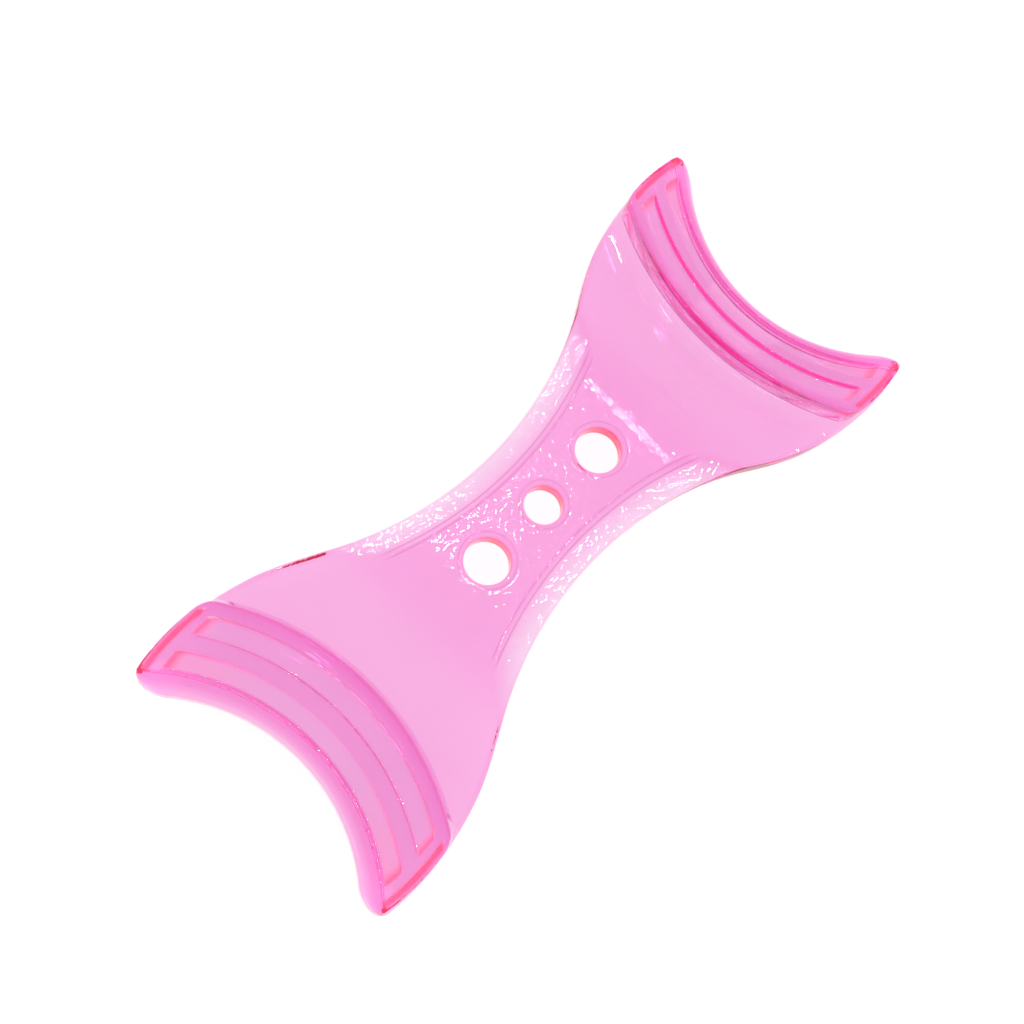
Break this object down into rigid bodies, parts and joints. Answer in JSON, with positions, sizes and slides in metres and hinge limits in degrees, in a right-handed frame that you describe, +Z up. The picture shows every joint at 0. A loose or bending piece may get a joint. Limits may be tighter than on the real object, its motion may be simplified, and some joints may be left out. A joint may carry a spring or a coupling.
{
  "type": "cheek retractor",
  "caption": "Double-ended cheek retractor: a waisted flat handle with round holes, and at each end a concave mouth edge with a ribbed flange hooked back over the blade.",
  "frame": {"origin": "middle of the bounding box's base: under the middle hole, on the plane the part rests on", "axes": "+X along the handle, +Y across it, +Z up out of the side that the flanges are on"},
  "size_m": [0.1314, 0.056, 0.0144],
  "materials": {
    "clear_pink": "clear pink tinted plastic, polished, light wear"
  },
  "bodies": {
    "root": {"handle_plate": "clear_pink", "left_blade": "clear_pink", "left_mouth_wall": "clear_pink", "left_flange_floor": "clear_pink", "left_front_rib": "clear_pink", "left_middle_rib": "clear_pink", "left_back_rib": "clear_pink", "left_side_ribs": "clear_pink", "right_blade": "clear_pink", "right_mouth_wall": "clear_pink", "right_flange_floor": "clear_pink", "right_front_rib": "clear_pink", "right_middle_rib": "clear_pink", "right_back_rib": "clear_pink", "right_side_ribs": "clear_pink"}
  },
  "joints": []
}
